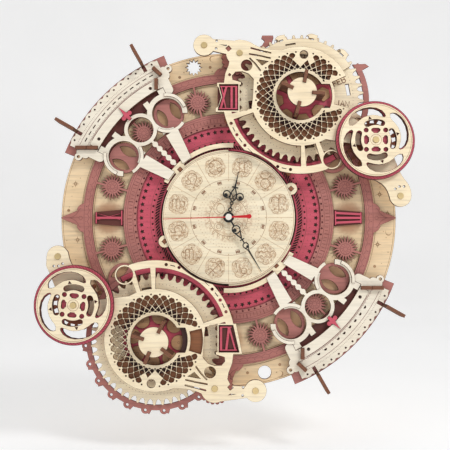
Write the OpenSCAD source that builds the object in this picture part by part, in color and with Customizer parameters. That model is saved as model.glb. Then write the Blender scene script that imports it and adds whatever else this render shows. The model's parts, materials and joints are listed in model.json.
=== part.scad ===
/* [Overall] */
// Radius of the round base board
base_r = 170; // [169:0.5:171]
// Thickness of the structural plywood boards
board_t = 3; // [2.8:0.1:3]
// Thickness of the decorative plywood sheets
sheet_t = 2; // [1.8:0.1:2]

/* [Clock face] */
// Radius of the clock face disc
dial_r = 66.5; // [64:0.5:67]
// Length of the hour hand from the arbor to its tip
hour_hand_l = 46.5; // [40:0.5:50]
// Length of the minute hand from the arbor to its tip
minute_hand_l = 63; // [56:0.5:65]
// Length of the second hand from the arbor to its tip
second_hand_l = 65; // [56:0.5:66]

/* [Gears] */
// Gear module, pitch diameter divided by the number of teeth
gear_m = 2.6; // [2.6:0.05:2.6]
// Teeth on each of the two big calendar gears
gear_n = 48; // [48:1:48]
// Teeth on each knob pinion
pinion_n = 18; // [18:1:18]
// Width of a big gear tooth at the pitch circle
tooth_w = 3.3; // [3:0.1:3.3]
// Width of a pinion tooth at the pitch circle
pinion_tooth_w = 4.2; // [4:0.1:4.2]

/* [Movement] */
// Width and height of the quartz movement case
case_w = 56; // [54:1:58]
// Diameter of the battery
battery_d = 14.2; // [13.5:0.1:14.2]

/* [Hidden] */
$fn = 64;

// Distance of each layer's back face from the wall
base_d = 16;
ring_d = base_d + board_t;
hour_ring_d = ring_d + sheet_t;
hook_d = hour_ring_d + sheet_t;
arc_d = 24;
bracket_d = 26;
dial_d = bracket_d + board_t;
gear_d = 28;
disc_d = gear_d + board_t;
claw_d = 32;
frame_d = 38;
rim_d = 44;
knob_d = rim_d + board_t;
hub_d = 55;
fin_end_d = 60;

// Rings of the face, radii about the arbor
magenta_r0 = 68.5;
magenta_r1 = 96;
inner_ring_r0 = 93;
inner_ring_r1 = 106.5;
outer_ring_r0 = 138;
outer_ring_r1 = 147.5;
sun_r = 122;

// Arc brackets, radii about the arbor and angles about their own axis
arc_axis = 135;
arc_r0 = 148;
arc_r1 = 178.5;
arc_half = 23.3;
centre_ring_p = [125.6, 0];
side_ring_r = 122.6;
side_ring_a = 14.6;

// Calendar gears, [centre, top boss, end boss, knob direction, knob end boss]
gear_c = [71.6, 120.6];
month = [gear_c, [11, 164], [-24.5, 172], -32, [169.8, 20.7]];
zodiac = [gear_c, [13.6, 167.5], [-26.2, 169.5], -23.6, [168, 39]];
gear_centre_dist = (gear_n + pinion_n) * gear_m / 2;
month_phase = 5.05;
zodiac_phase = 6.05;
pin_r = 3;
pressure = 12;
running_gap = 0.06;

cream = [0.95, 0.88, 0.74];
tan_wood = [0.93, 0.83, 0.67];
mauve = [0.70, 0.47, 0.43];
magenta = [0.74, 0.38, 0.40];
brown = [0.40, 0.24, 0.19];
maroon = [0.34, 0.15, 0.12];
white_wood = [0.93, 0.87, 0.80];

function pol(r, a) = [r * cos(a), r * sin(a)];
function knob_c(set) = set[0] + pol(gear_centre_dist, set[3]);
function inv(a) = tan(a) * 180 / PI - a;
function curve(p, q, r, s, n = 8) = [for (i = [0:n]) let (t = i / n, u = 1 - t)
  u * u * u * p + 3 * u * u * t * q + 3 * u * t * t * r + t * t * t * s];

// A board cut from an outline drawn as seen from the front, back face at depth d
module board(d, t) translate([0, -d, 0]) rotate([90, 0, 0]) linear_extrude(t) children();
// A round peg between two depths
module peg(p, r, d0, d1) translate([p[0], -d0, p[1]]) rotate([90, 0, 0]) cylinder(r = r, h = d1 - d0);
// A round peg with a hole through it
module tube(p, r, bore_r, d0, d1) difference() {
  peg(p, r, d0, d1);
  peg(p, bore_r, d0 - 1, d1 + 1);
}

module at(p, a = 0) translate(p) rotate(a) children();
module wedge(r, a0, a1) {
  n = ceil((a1 - a0) / 40);
  polygon(concat([[0, 0]], [for (i = [0:n]) pol(2 * r, a0 + (a1 - a0) * i / n)]));
}
module ring(r0, r1) difference() {
  circle(r1);
  circle(r0);
}
module band(r0, r1, a0, a1) intersection() {
  ring(r0, r1);
  wedge(r1, a0, a1);
}
// A straight bar with round ends, a little narrower than the bar so that no circle runs along an edge
module bar(p, q, w) {
  v = q - p;
  at(p, atan2(v[1], v[0])) translate([0, -w / 2]) square([norm(v), w]);
  at(p) circle(w / 2 - 0.04, $fn = 24);
  at(q) circle(w / 2 - 0.04, $fn = 24);
}
module slot(w, h) square([w, h], center = true);
// Outline whose points run clockwise, turned round so that every face looks the same way
module clockwise(p) polygon([for (i = [len(p) - 1:-1:0]) p[i]]);
module star(points, r0, r1, turn = 0)
  polygon([for (i = [0:2 * points - 1]) pol(i % 2 == 0 ? r1 : r0, turn + 180 * i / points)]);

// Sun with curved rays round a disc
module sun(disc_r, ray_r, rays) {
  circle(disc_r);
  for (i = [0:rays - 1]) rotate(360 * i / rays) polygon([
    [disc_r - 1, -1.1], [disc_r + 2.4, -1], [ray_r, i % 2 == 0 ? 0.9 : 1.6],
    [disc_r + 2, 0.7], [disc_r - 1, 1.1]]);
}

// Spur gear outline with steep involute flanks. under narrows the foot of each tooth, in degrees
module gear_2d(n, width, phase, under = 0) {
  rp = gear_m * n / 2;
  rb = rp * cos(pressure);
  tip = rp + gear_m;
  root = rp - 1.25 * gear_m;
  low = max(rb, root + 0.8);
  half = width / (2 * rp) * 180 / PI;
  function flank(r) = half + inv(pressure) - inv(acos(rb / r));
  radii = [low, (low + rp) / 2, rp, (rp + tip) / 2, tip - 0.4];
  polygon([for (i = [0:n - 1]) let (a = phase + 360 * i / n) each concat(
    [pol(root, a - flank(low) - 1.5 + under)],
    [for (r = radii) pol(r, a - flank(r))],
    [pol(tip, a - flank(tip) * 0.5), pol(tip, a + flank(tip) * 0.5)],
    [for (j = [4:-1:0]) pol(radii[j], a + flank(radii[j]))],
    [pol(root, a + flank(low) + 1.5 - under)])]);
}

/* Movement */
module movement_case() color([0.12, 0.12, 0.13]) difference() {
  translate([-case_w / 2, -base_d, -case_w / 2]) cube([case_w, base_d - 1.2, case_w]);
  translate([-case_w / 2 + 1.5, -base_d + 1.5, -case_w / 2 + 1.5]) cube([case_w - 3, base_d, case_w - 3]);
  peg([0, 0], 4.1, 0, base_d + 1);
}
module movement_cover() color([0.16, 0.16, 0.17]) difference() {
  translate([-case_w / 2, -1.2, -case_w / 2]) cube([case_w, 1.2, case_w]);
  peg([0, 15], 6.4, -1, 3);
  translate([-26.5, -3, -25.5]) cube([53, 4, 15.4]);
}
module circuit_board() color([0.1, 0.35, 0.2]) translate([-24, -base_d + 1.5, 12]) difference() {
  cube([20, 1, 12]);
  translate([2, -1, 6]) rotate([-90, 0, 0]) cylinder(r = 1, h = 3, $fn = 24);
}
module drive_coil() color([0.72, 0.4, 0.2]) {
  translate([6, -10.5, 22]) rotate([0, 90, 0]) cylinder(r = 3, h = 16);
  for (x = [4, 22]) translate([x, -base_d + 1.5, 18.6]) cube([2, 7.4, 6.8]);
}
module battery() color([0.75, 0.75, 0.78]) translate([-25, -7.4, -17.8]) rotate([0, 90, 0]) {
  cylinder(d = battery_d, h = 48.5);
  translate([0, 0, 48.5]) cylinder(r = 2.7, h = 1.4);
}
module arbor_bushing() color([0.85, 0.7, 0.4]) tube([0, 0], 4, 2.7, 12, 27);
module arbor_nut() color([0.85, 0.7, 0.4]) difference() {
  board(ring_d, 2.4) circle(6.5, $fn = 6);
  peg([0, 0], 4.02, ring_d - 1, ring_d + 4);
}
module time_set_knob() color([0.9, 0.9, 0.9]) {
  peg([0, 15], 5.6, 0.3, 3);
  peg([0, 15], 1.5, 3, 11);
}
module hour_tube() color([0.85, 0.7, 0.4]) tube([0, 0], 2.62, 1.9, 13, 35.4);
module minute_tube() color([0.85, 0.7, 0.4]) tube([0, 0], 1.84, 0.8, 12.5, 37.4);
module second_shaft() color([0.8, 0.8, 0.82]) {
  peg([0, 0], 0.74, 12, 39);
  peg([0, 0], 3.1, 39, 40.2);
}

// Closed scroll with a blob inside, at one side of a hand drawn along +X
module scroll(p, r, blob) {
  at(p) ring(r - 1.1, r, $fn = 32);
  at(p + blob) circle(1.9, $fn = 24);
}
module needle(x, w, l) polygon([[x, -w / 2], [l, -0.25], [l, 0.25], [x, w / 2]]);
module hour_hand_2d() {
  circle(5.4);
  at([7.6, 0]) ring(1.2, 2.3, $fn = 24);
  bar([9.6, 0], [12.8, 0], 1.4);
  at([14.2, 0]) ring(0.9, 1.9, $fn = 24);
  for (y = [-1, 1]) {
    scroll([22.2, y * 6.6], 4, [-1.2, y * 0.7]);
    bar([15.6, 0], [19, y * 3], 1.1);
    bar([19, y * 3], [24.4, y * 2.8], 1.1);
    bar([24.4, y * 2.8], [30.6, 0], 1.1);
    bar([17.6, y * 1.6], [24.4, y * -2.6], 0.9);
  }
  bar([30.4, -2.6], [30.4, 2.6], 1.4);
  needle(30, 1.9, hour_hand_l);
}
module minute_hand_2d() {
  circle(4.6);
  bar([4, 0], [10, 0], 1.6);
  scroll([14.4, 0], 4.4, [0, -1.6]);
  for (y = [-1, 1]) {
    bar([17.2, y * 3], [24.8, 0], 1.2);
    bar([33.8, y * 2.5], [38.8, 0], 1);
  }
  bar([26, -2], [26, 2], 1.2);
  bar([24.8, 0], [30, 0], 1.2);
  at([32.8, 0]) ring(2.1, 3.2, $fn = 32);
  at([34.6, 1]) circle(1.3, $fn = 24);
  needle(38.2, 1.7, minute_hand_l);
}
module hour_hand() color([0.05, 0.05, 0.05]) board(34.4, 0.8) difference() {
  rotate(77.7) hour_hand_2d();
  circle(2.64);
}
module minute_hand() color([0.05, 0.05, 0.05]) board(36.4, 0.8) difference() {
  rotate(-59) minute_hand_2d();
  circle(1.86);
}
module second_hand() color([0.75, 0.08, 0.14]) board(38.4, 0.6) difference() {
  rotate(181.8) union() {
    circle(2.4, $fn = 32);
    polygon([[0, -0.6], [second_hand_l, -0.3], [second_hand_l, 0.3], [0, 0.6]]);
    polygon([[-20, -1.6], [0, -0.7], [0, 0.7], [-20, 1.6]]);
    at([-20.4, 0]) circle(2.3, $fn = 32);
  }
  circle(0.76);
}

/* Base and rings */
spacer_angles = [20, 75, 145, 200, 255, 325];
module wall_spacers() color(tan_wood) for (a = spacer_angles) peg(pol(150, a), 6, 0, base_d);
// Flat hanger with a round nail hole, on the back of the base
hanger_z = 112;
module hanger_plate() color(tan_wood) difference() {
  board(base_d - board_t, board_t) union() {
    at([0, hanger_z]) slot(44, 16);
    at([0, hanger_z + 6]) circle(10);
  }
  peg([0, hanger_z + 6], 3, 0, base_d + 1);
}
module base_board() color(tan_wood) difference() {
  board(base_d, board_t) difference() {
    circle(base_r, $fn = 180);
    circle(4.1);
    at([-36, 155.4]) star(12, 5.6, 8.6);
    at([36.2, -155.2]) circle(6.6);
  }
  peg([0, hanger_z + 6], 3.4, 0, ring_d + 1);
}
// Star holes and an edge of slanting slots round the face
module magenta_ring() color(magenta) board(ring_d, sheet_t) difference() {
  ring(magenta_r0, magenta_r1, $fn = 180);
  for (a = [0:4.5:355.5]) rotate(a) translate([88.5, 0]) star(5, 1.1, 2.3);
}
// Numerals stand at the hours that the gear frames and brackets leave clear
clear_hours = [0, 180];
// Framed numerals XII and VI stand in front, in boxes of the gear frames
box_numeral_d = frame_d;
module box_window(slanted) clockwise(slanted
  ? [[-4.4, 106], [-10.4, 132.4], [9.6, 132.4], [9.6, 106]]
  : [[-10.6, 106], [-10.2, 109], [-6.4, 119.5], [-9, 129.4], [-9.6, 132.4], [9.6, 132.4], [9.6, 106]]);
module box_rim(slanted) clockwise(slanted
  ? [[-7.4, 104.5], [-13.4, 134], [11, 134], [11, 104.5]]
  : [[-13, 104.5], [-13, 108.5], [-10.5, 110], [-7.4, 119.5], [-10, 129], [-11.5, 130.4], [-11.5, 134],
    [11, 134], [11, 104.5]]);
module numeral_plates() color(maroon) {
  board(ring_d, sheet_t) for (a = clear_hours) rotate(a)
    polygon([[107, -8.5], [135.5, -6], [135.5, 6], [107, 8.5]]);
  board(box_numeral_d - 1.5, 1.5) {
    translate([-11, 105]) square([21, 28.5]);
    rotate(180) polygon([[-6.6, 105], [10, 105], [10, 133.5], [-12.4, 133.5]]);
  }
}
module numeral_bars(count) {
  w = 2.6;
  for (i = [0:count - 1]) let (k = i - (count - 1) / 2)
    polygon([[107.5, k * 5 + w / 2], [107.5, k * 5 - w / 2],
      [134.5, k * 3.6 - w / 2], [134.5, k * 3.6 + w / 2]]);
  for (x = [107.3, 133]) translate([x, -7.4 + (x > 120 ? 1.6 : 0)]) square([1.6, x > 120 ? 11.6 : 14.8]);
}
module stroke(x0, x1, w = 2.5)
  polygon([[x0 - w / 2, 107.4], [x0 + w / 2, 107.4], [x1 + w / 2, 131], [x1 - w / 2, 131]]);
module serif(x0, x1, z) translate([x0, z]) square([x1 - x0, 1.4]);
module hour_numerals() color(magenta) {
  board(box_numeral_d, sheet_t) {
    stroke(-8, -2);
    stroke(-2.6, -7.4, 1.4);
    stroke(3, 3);
    stroke(7.6, 7.6);
    serif(-9.6, 8.9, 107.4);
    serif(-8.6, 8.9, 129.6);
    rotate(180) union() {
      stroke(7.4, 7.4);
      stroke(-0.4, 2.4);
      stroke(-0.4, -6.8, 2);
      serif(-3, 8.7, 107.4);
      serif(-8.4, 8.7, 129.6);
    }
  }
  board(hour_ring_d, sheet_t) side_numerals();
}
module side_numerals() {
  numeral_bars(3);
  rotate(180) union() {
    numeral_bars(1);
    translate([0, 1]) clockwise([[108, 1], [110.4, 1], [134, -5.5], [131.5, -5.5]]);
    translate([0, 1]) polygon([[108, -5.5], [110.4, -5.5], [134, 1], [131.5, 1]]);
  }
}
// Openwork ring: two rims joined by suns and, at the covered hours, by numeral discs
module hour_ring_ornament() {
  clockwise(concat(
    curve([146, 15], [150, 15], [155, 9], [153, 7.5], 5),
    curve([153, 7.5], [158, 5], [165, 3], [169.8, 0], 5),
    curve([169.8, 0], [165, -3], [158, -5], [153, -7.5], 5),
    curve([153, -7.5], [155, -9], [150, -15], [146, -15], 5)));
}
covered_hours = [30, 60, 120, 150, 210, 240, 300, 330];
module hour_ring() color(mauve) board(hour_ring_d, sheet_t) difference() {
  hour_ring_2d();
  for (side = [0, 180]) rotate(side) at(gear_c) circle(pin_r);
}
module hour_ring_2d() {
  ring(inner_ring_r0, inner_ring_r1, $fn = 180);
  ring(outer_ring_r0, outer_ring_r1, $fn = 180);
  for (a = [0, 180, 90, 270]) rotate(a) intersection() {
    hour_ring_ornament();
    circle(base_r);
  }
  for (a = [15:30:345]) rotate(a) {
    translate([sun_r, 0]) sun(7.2, 13.8, 20);
    translate([inner_ring_r1 - 1, -1.2]) square([outer_ring_r0 - inner_ring_r1 + 2, 2.4]);
  }
  for (a = covered_hours) rotate(a) difference() {
    translate([sun_r, 0]) circle(15.6);
    for (side = [-1, 1]) translate([sun_r, side * 7.6]) intersection() {
      translate([0, 9]) circle(13.4);
      translate([0, -9]) circle(13.4);
    }
  }
}
bracket_bosses = [[-48.8, 48.4], [62.8, 29], [-64, -24], [47.4, -48]];
module dial_bracket() color(cream) board(bracket_d, board_t) difference() {
  union() {
    ring(46, 65.5);
    for (a = [0, 180]) rotate(a) {
      band(64, 68.5, 90, 156);
      at([0, 1.5]) band(69, 74, 86, 152);
      rotate(arc_axis) translate([64, -6]) square([8, 12]);
    }
    for (p = bracket_bosses) at(p) circle(6.2);
    for (a = [24.8, 200.6]) rotate(a) translate([55, -6]) square([14, 12]);
  }
  for (p = bracket_bosses) at(p, 45) slot(4.1, 4.1);
}
module bracket_tabs() color(brown) for (p = bracket_bosses)
  board(hour_ring_d, dial_d - hour_ring_d) at(p, 45) slot(4, 4);
module dial() color(cream) board(dial_d, sheet_t) difference() {
  circle(dial_r, $fn = 180);
  circle(4.4);
}

/* Arc brackets, drawn about the +X axis and turned into place */
module arc_turn(side) rotate(arc_axis + (side == "ul" ? 0 : 180)) children();
module arc_backings() color(mauve) board(arc_d, sheet_t) for (side = ["ul", "lr"]) arc_turn(side)
  band(165, arc_r1, -arc_half, arc_half);
module arc_liners() color(maroon) board(hook_d, sheet_t) for (side = ["ul", "lr"]) arc_turn(side)
  band(137, 164.7, -19, 19);
scallop_pitch = 3.05;
fin_half_a = 15.45;
// Tenons that stand through the plate, [place, angle], for the bracket at the upper left
arc_tenons = [[[-73.2, 134.9], 90], [[-72.5, 148], -43], [[-137, 70.2], 0], [[-148.4, 70.2], 0]];
module arc_plate_2d() difference() {
  union() {
    band(arc_r0, 176, -20.6, 20.6);
    for (i = [-6:6]) rotate(i * scallop_pitch) translate([170.5, 0]) circle(6.8);
    for (s = [-1, 1]) {
      rotate(s * 22.9) translate([163.4, 0]) circle(4);
      rotate(s * 21) bar([158, 0], [163, 0], 9.4);
      rotate(s * 20) bar([143, 0], [152, 0], 9);
    }
  }
  for (s = [-1, 1]) rotate(s * 22.9) translate([163.4, 0]) circle(1.4, $fn = 24);
  for (i = [-6:6]) rotate(i * scallop_pitch) translate([174, 0]) circle(0.8, $fn = 16);
  for (s = [-1, 1]) rotate(s * fin_half_a) translate([173.5, 0]) slot(6, 3.3);
  tenon_slots();
}
module tenon_slots() rotate(-arc_axis) for (t = arc_tenons) at(t[0], t[1]) slot(11, 3.4);
module arc_plate_ul() color(cream) board(arc_d + sheet_t, board_t) arc_turn("ul") arc_plate_2d();
module arc_plate_lr() color(cream) board(arc_d + sheet_t, board_t) arc_turn("lr") arc_plate_2d();
strip_d = arc_d + sheet_t + board_t;
module arc_strips() color(white_wood) board(strip_d, 1.5) for (side = ["ul", "lr"]) arc_turn(side)
  difference() {
    band(arc_r0, 158, -17.2, 17.2);
    tenon_slots();
    for (s = [-1, 1]) rotate(s * 13.8) translate([152.8, 0]) circle(1.5, $fn = 24);
  }
// Three rings hold the view of the numerals; wavy middle strut to the clock face
module arc_rings_2d() difference() {
  union() {
    translate(centre_ring_p) circle(16.8);
    for (s = [-1, 1]) at(pol(side_ring_r, s * side_ring_a)) rotate(s * side_ring_a) difference() {
      band(15.2, 20.6, s > 0 ? -175 : -120, s > 0 ? 120 : 175);
      circle(15.2);
    }
    for (x = [79:6.4:110]) translate([x, 0]) circle(3);
    translate([75.2, -1.5]) square([36, 3]);
    for (s = [-1, 1]) {
      rotate(s * 9) translate([132, -3]) square([12, 6]);
      rotate(s * 8.2) translate([106, -2.5]) square([7, 5]);
    }
    band(141.5, 147.7, -21, -15.5);
    band(141.5, 147.7, 15.5, 21);
  }
  translate(centre_ring_p) circle(12.8);
  for (s = [-1, 1]) at(pol(side_ring_r, s * side_ring_a)) circle(15.2);
}
module arc_rings_ul() color(cream) board(arc_d + sheet_t, board_t) arc_turn("ul") difference() {
  arc_rings_2d();
  arc_plate_2d();
}
module arc_rings_lr() color(cream) board(arc_d + sheet_t, board_t) arc_turn("lr") difference() {
  arc_rings_2d();
  arc_plate_2d();
}
// Flat arms that widen into crescents round the side rings
module arc_arms_2d() for (s = [-1, 1]) {
  polygon([for (c = [[71, -4.3], [104, -3.9], [104, 3.9], [71, 4.3]])
    pol(c[0], s * (c[0] > 100 ? 11.5 : 8.9) + c[1])]);
  at(pol(side_ring_r, s * side_ring_a)) rotate(s * side_ring_a) {
    band(17, 20.4, s > 0 ? 150 : 120, s > 0 ? 240 : 210);
    band(17, 20.4, s > 0 ? 20 : -100, s > 0 ? 100 : -20);
  }
}
module arc_arms() color(white_wood) board(strip_d, 1.5)
  for (side = ["ul", "lr"]) arc_turn(side) arc_arms_2d();
// Edge-on fins and the square tenons beside them
module arc_fins() color(brown) for (side = [0, 180]) {
  board(arc_d + sheet_t, 17) rotate(side + arc_axis) for (s = [-1, 1]) rotate(s * fin_half_a)
    translate([170.6, -1.6]) square([5.8, 3.2]);
  board(strip_d + 4, 13) rotate(side + arc_axis) for (s = [-1, 1]) rotate(s * fin_half_a)
    translate([176.4, -1.6]) square([20.6, 3.2]);
  board(arc_d + sheet_t, 8) rotate(side) for (t = arc_tenons) at(t[0], t[1]) slot(11, 3.4);
}
module pointer_2d() {
  polygon([[-9, -1.6], [-1, -2.4], [0, -1.7], [8.6, 0], [0, 1.7], [-1, 2.4], [-9, 1.6]]);
  for (s = [-1, 1]) translate([-3.5, s * 4]) circle(2.4);
  translate([-4.5, -4]) square([2.6, 8]);
}
module arc_pointers() color([0.82, 0.5, 0.48]) board(strip_d + 1.5, 1.5)
  for (side = ["ul", "lr"]) arc_turn(side) translate([148.6, 0]) pointer_2d();

/* Calendar wheels */
module side_turn(side) rotate(side == "month" ? 0 : 180) children();
module gear_arcs() color(magenta) board(hook_d, sheet_t) {
  at(gear_c) band(65.6, 71.5, 190, 301.5);
  rotate(180) at(gear_c) band(65.6, 71, 190, 301.5);
}
// Scalloped rosette round the top boss
module rosette_2d() {
  circle(17);
  for (i = [0:21]) rotate(360 / 22 * i) translate([16.6, 0]) circle(2, $fn = 24);
}
// Rings that carry on past the edge of the base and end in hooks
module month_hook_ring() color(mauve) board(hook_d, sheet_t) {
  at(gear_c) {
    band(65.6, 71.5, -58, 32);
    polygon([pol(65.6, 33.5), pol(65.6, 30), pol(71.5, 25), pol(74, 25.2), pol(79.5, 25.5), pol(77.5, 28.5)]);
  }
  at(month[1]) rosette_2d();
  clockwise([[20, 168], [27, 172.5], [34, 176.5], [36.8, 181], [33.4, 184], [34.4, 187], [45.4, 187],
    [46, 184.5], [44, 178.5], [36, 173.2], [24, 166]]);
}
zodiac_hooks = 9;
module zodiac_hook_ring() color(mauve) board(hook_d, sheet_t) rotate(180) {
  at(gear_c) difference() {
    union() {
      band(65.6, 71, -58, 133);
      for (i = [0:zodiac_hooks - 1]) rotate(6 + 15 * i) {
        translate([71, 0]) circle(4.2, $fn = 32);
        translate([67.4, 1]) rotate(-20) square([6, 6]);
      }
    }
    for (i = [0:zodiac_hooks - 1]) rotate(6 + 15 * i) translate([71.6, 0]) circle(1.4, $fn = 24);
  }
  difference() {
    at(zodiac[1]) rosette_2d();
    at(gear_c) circle(68);
  }
}
// Curved plate with claws in front of the top of the month gear
claw_angles = [108, 78.5, 46];
module month_claws() color(cream) board(claw_d, 2) at(gear_c) difference() {
  union() {
    band(44, 60.6, 32, 126);
    for (a = claw_angles) rotate(a) {
      translate([60, 0]) circle(6.6);
      translate([59, -5]) rotate(-6) square([7, 4]);
    }
  }
  for (a = claw_angles) rotate(a) {
    translate([62, 4.4]) circle(1.5, $fn = 24);
    translate([61, 0]) slot(1.2, 4.6);
  }
  rotate(99.5) translate([55, 0]) slot(1.4, 10);
}
gear_slots = [10, 100, 190, 280];
module big_gear_2d(phase) difference() {
  gear_2d(gear_n, tooth_w, phase);
  circle(pin_r + running_gap);
  for (a = gear_slots) rotate(a) translate([49.6, 0]) slot(3.6, 11.5);
}
module month_gear() color(cream) board(gear_d, board_t) at(gear_c) big_gear_2d(month_phase);
module zodiac_gear() color(cream) board(gear_d, board_t) rotate(180) at(gear_c) big_gear_2d(zodiac_phase);
module disc_2d() at(gear_c) ring(pin_r + running_gap, 33);
module month_disc() color(magenta) board(disc_d, sheet_t) disc_2d();
module zodiac_disc() color(magenta) board(disc_d, sheet_t) rotate(180) disc_2d();
plate_d = disc_d + sheet_t;
month_fin_angles = [78, -4, 255, 156];
zodiac_fin_angles = [243, -17, 68, 142];
module fin_slots(angles) for (a = angles) rotate(a) translate([9.6, -1.6]) square([12.4, 3.2]);
// Label plates between the fins, six-sided for the months and round for the zodiac
module month_plates() color([0.72, 0.52, 0.38]) board(plate_d, 1.5) at(gear_c) difference() {
  for (i = [0:7]) rotate(8 + 45 * i) translate([23.5, 0]) rotate(30) circle(7.6, $fn = 6);
  fin_slots(month_fin_angles);
}
module zodiac_plates() color([0.72, 0.52, 0.38]) board(plate_d, 1.5) rotate(180) at(gear_c) difference() {
  for (i = [0:7]) rotate(-8 + 45 * i) translate([22.6, 0]) circle(7.4);
  fin_slots(zodiac_fin_angles);
}
module hub_2d(angles) at(gear_c) difference() {
  circle(14.4);
  fin_slots(angles);
}
module month_hub() color(cream) board(hub_d, board_t) hub_2d(month_fin_angles);
module zodiac_hub() color(cream) board(hub_d, board_t) rotate(180) hub_2d(zodiac_fin_angles);
module month_fins() color(brown) board(plate_d, fin_end_d - plate_d) at(gear_c) fin_slots(month_fin_angles);
module zodiac_fins() color(brown) board(plate_d, fin_end_d - plate_d)
  rotate(180) at(gear_c) fin_slots(zodiac_fin_angles);

// Frame in front of a calendar gear. open_a is where its ring is left open on the wheel
module frame_2d(set, open_a, rim_kept) {
  top = set[1];
  end = set[2];
  knob = knob_c(set);
  foot = set[4];
  difference() {
    union() {
      at(gear_c) circle(50);
      at(gear_c) band(70.4, 78, 189, 290);
      at(gear_c) band(48, 72, 194.5, 199.5);
      at(gear_c) band(48, 72, 270, 274.5);
      at(gear_c) band(48, 72, 287, 292);
      clockwise(concat([[-5, 132], [-3.5, 143], [0, 152], [1, 158], [-2, 164]],
        curve([-2, 172], [6, 178], [14, 179], [22, 175], 6),
        curve([22, 175], [30, 169], [40, 167], [54, 167], 6), [[40, 140], [25, 130], [11, 132]]));
      box_rim(rim_kept);
      at(top) circle(13.6);
      bar(end, top, 8);
      translate([0, 4]) bar(end + [6, 0], top + [-4, 6], 5);
      at(end) circle(10.8);
      clockwise([gear_c + pol(49, -62), gear_c + pol(49, -22), knob + [-4, 14], knob + [-14, -4]]);
      at(knob) circle(13);
      clockwise(concat([knob + [-12, 0], knob + [13, 0]],
        curve(knob + [26, -32], knob + [30, -40], foot + [11, 12], foot + [11, 0], 6),
        curve(foot + [-10, -5], foot + [-12, 4], foot + [-14, 14], knob + [-6, -37], 6)));
      at(foot) circle(10.8);
      at([102, 57]) circle(9.8);
    }
    circle(68);
    box_window(rim_kept);
    at(gear_c) circle(24.2);
    at(gear_c, open_a) intersection() {
      circle(31.5);
      translate([12, -12]) square([24, 24]);
    }
    if (rim_kept) at(gear_c, open_a) band(34.5, 46.5, -17, 14);
    if (!rim_kept) at(gear_c, open_a) band(34.5, 52, -14, 24);
    // window beside the top hour numeral
    clockwise([[12.5, 106], [12.5, 134.5], [4, 137], [3.5, 141], [7, 145], [14, 145.2], [20, 143],
      [25, 137.5], [24, 118], [23, 110], [18, 106]]);
    // bent slots and a three-cornered window beside the top boss
    for (p = [[[22.5, 169], [32, 166.4], [42, 164]], [[21, 163], [31, 161.2], [41.5, 158.8]],
      [[21.4, 158.4], [27, 152.6], [31.6, 146.4]]]) for (i = [0, 1]) bar(p[i], p[i + 1], 1.3);
    polygon([[27, 158], [33.4, 151.4], [40, 155.6]]);
    at([18, 151.6]) circle(5.6);
    at([102, 57]) circle(8.2);
    at(end + [24.4, -3.4], 40) slot(4.2, 4.2);
    for (p = [[12.6, 4.4], [12, -3.4]]) at(end + p) circle(1.1, $fn = 24);
    if (!rim_kept) at([1, 142]) circle(1.3, $fn = 24);
    for (a = [201.8, 211.6, 221.8, 252, 262]) at(gear_c + pol(74.4, a)) circle(1.4, $fn = 24);
    at(gear_c + pol(42, 85)) circle(4.2);
    at(top) circle(pin_r);
    at(end) circle(pin_r);
    at(foot) circle(pin_r);
    at(knob) circle(pin_r + running_gap);
    for (p = [[-5, 7], [-1, 9.4], [3.6, 9.4]]) at(foot + p) circle(1.1, $fn = 24);
  }
}
module month_frame() color(cream) board(frame_d, board_t) frame_2d(month, 0, false);
module zodiac_frame() color(cream) board(frame_d, board_t) rotate(180) frame_2d(zodiac, 180, true);

// Standoffs between the base and the frames. Each starts on the ring that lies under it
module side_posts(set, foot_post) {
  peg(set[1], 4.5, hook_d + sheet_t, frame_d);
  peg([-1, 98.6], 3, hour_ring_d + sheet_t, frame_d);
  peg([60.6, 45.4], 3, hour_ring_d, frame_d);
  peg(foot_post, 3.5, ring_d, frame_d);
}
module frame_posts() color(brown) {
  side_posts(month, [156, 38]);
  for (a = [50, 108]) peg(gear_c + pol(47, a), 2, claw_d + 2, frame_d);
  rotate([0, 180, 0]) side_posts(zodiac, [157, 52]);
  for (a = [arc_axis - 17, arc_axis + 17]) for (b = [0, 180])
    peg(pol(161, a + b), 3, hook_d + sheet_t, arc_d + sheet_t);
}
// Brass axles of the big wheels, and brass heads on the frame bosses
module side_pins(set) {
  peg(set[0], pin_r, ring_d, hub_d - 2);
  for (p = [set[1], set[2], set[4]]) peg(p, pin_r, frame_d, frame_d + board_t + 1);
}
module brass_pins() color([0.84, 0.72, 0.42]) {
  side_pins(month);
  rotate([0, 180, 0]) side_pins(zodiac);
}

/* Knobs */
// Turn of a pinion that puts a tooth gap on the gear tooth at the line of centres
function pinion_turn(dir, phase) =
  let (e = (phase - dir) - round((phase - dir) / (360 / gear_n)) * 360 / gear_n)
  dir + 180 - e * gear_n / pinion_n + 180 / pinion_n;
// Pinion and its sleeve turn on the knob's brass axle, behind the frame
module pinion(set, phase) {
  board(gear_d, board_t) at(knob_c(set)) difference() {
    gear_2d(pinion_n, pinion_tooth_w, pinion_turn(set[3], phase), 4);
    circle(pin_r);
  }
  tube(knob_c(set), 6, pin_r, gear_d + board_t, frame_d - 0.3);
}
module month_pinion() color(brown) pinion(month, month_phase);
module zodiac_pinion() color(brown) rotate([0, 180, 0]) pinion(zodiac, zodiac_phase);
module knob_axle(set) {
  peg(knob_c(set), 5, gear_d - 1.6, gear_d);
  peg(knob_c(set), pin_r, gear_d, knob_d + board_t + 1.2);
}
module month_knob_axle() color([0.84, 0.72, 0.42]) knob_axle(month);
module zodiac_knob_axle() color([0.84, 0.72, 0.42]) rotate([0, 180, 0]) knob_axle(zodiac);
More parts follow.
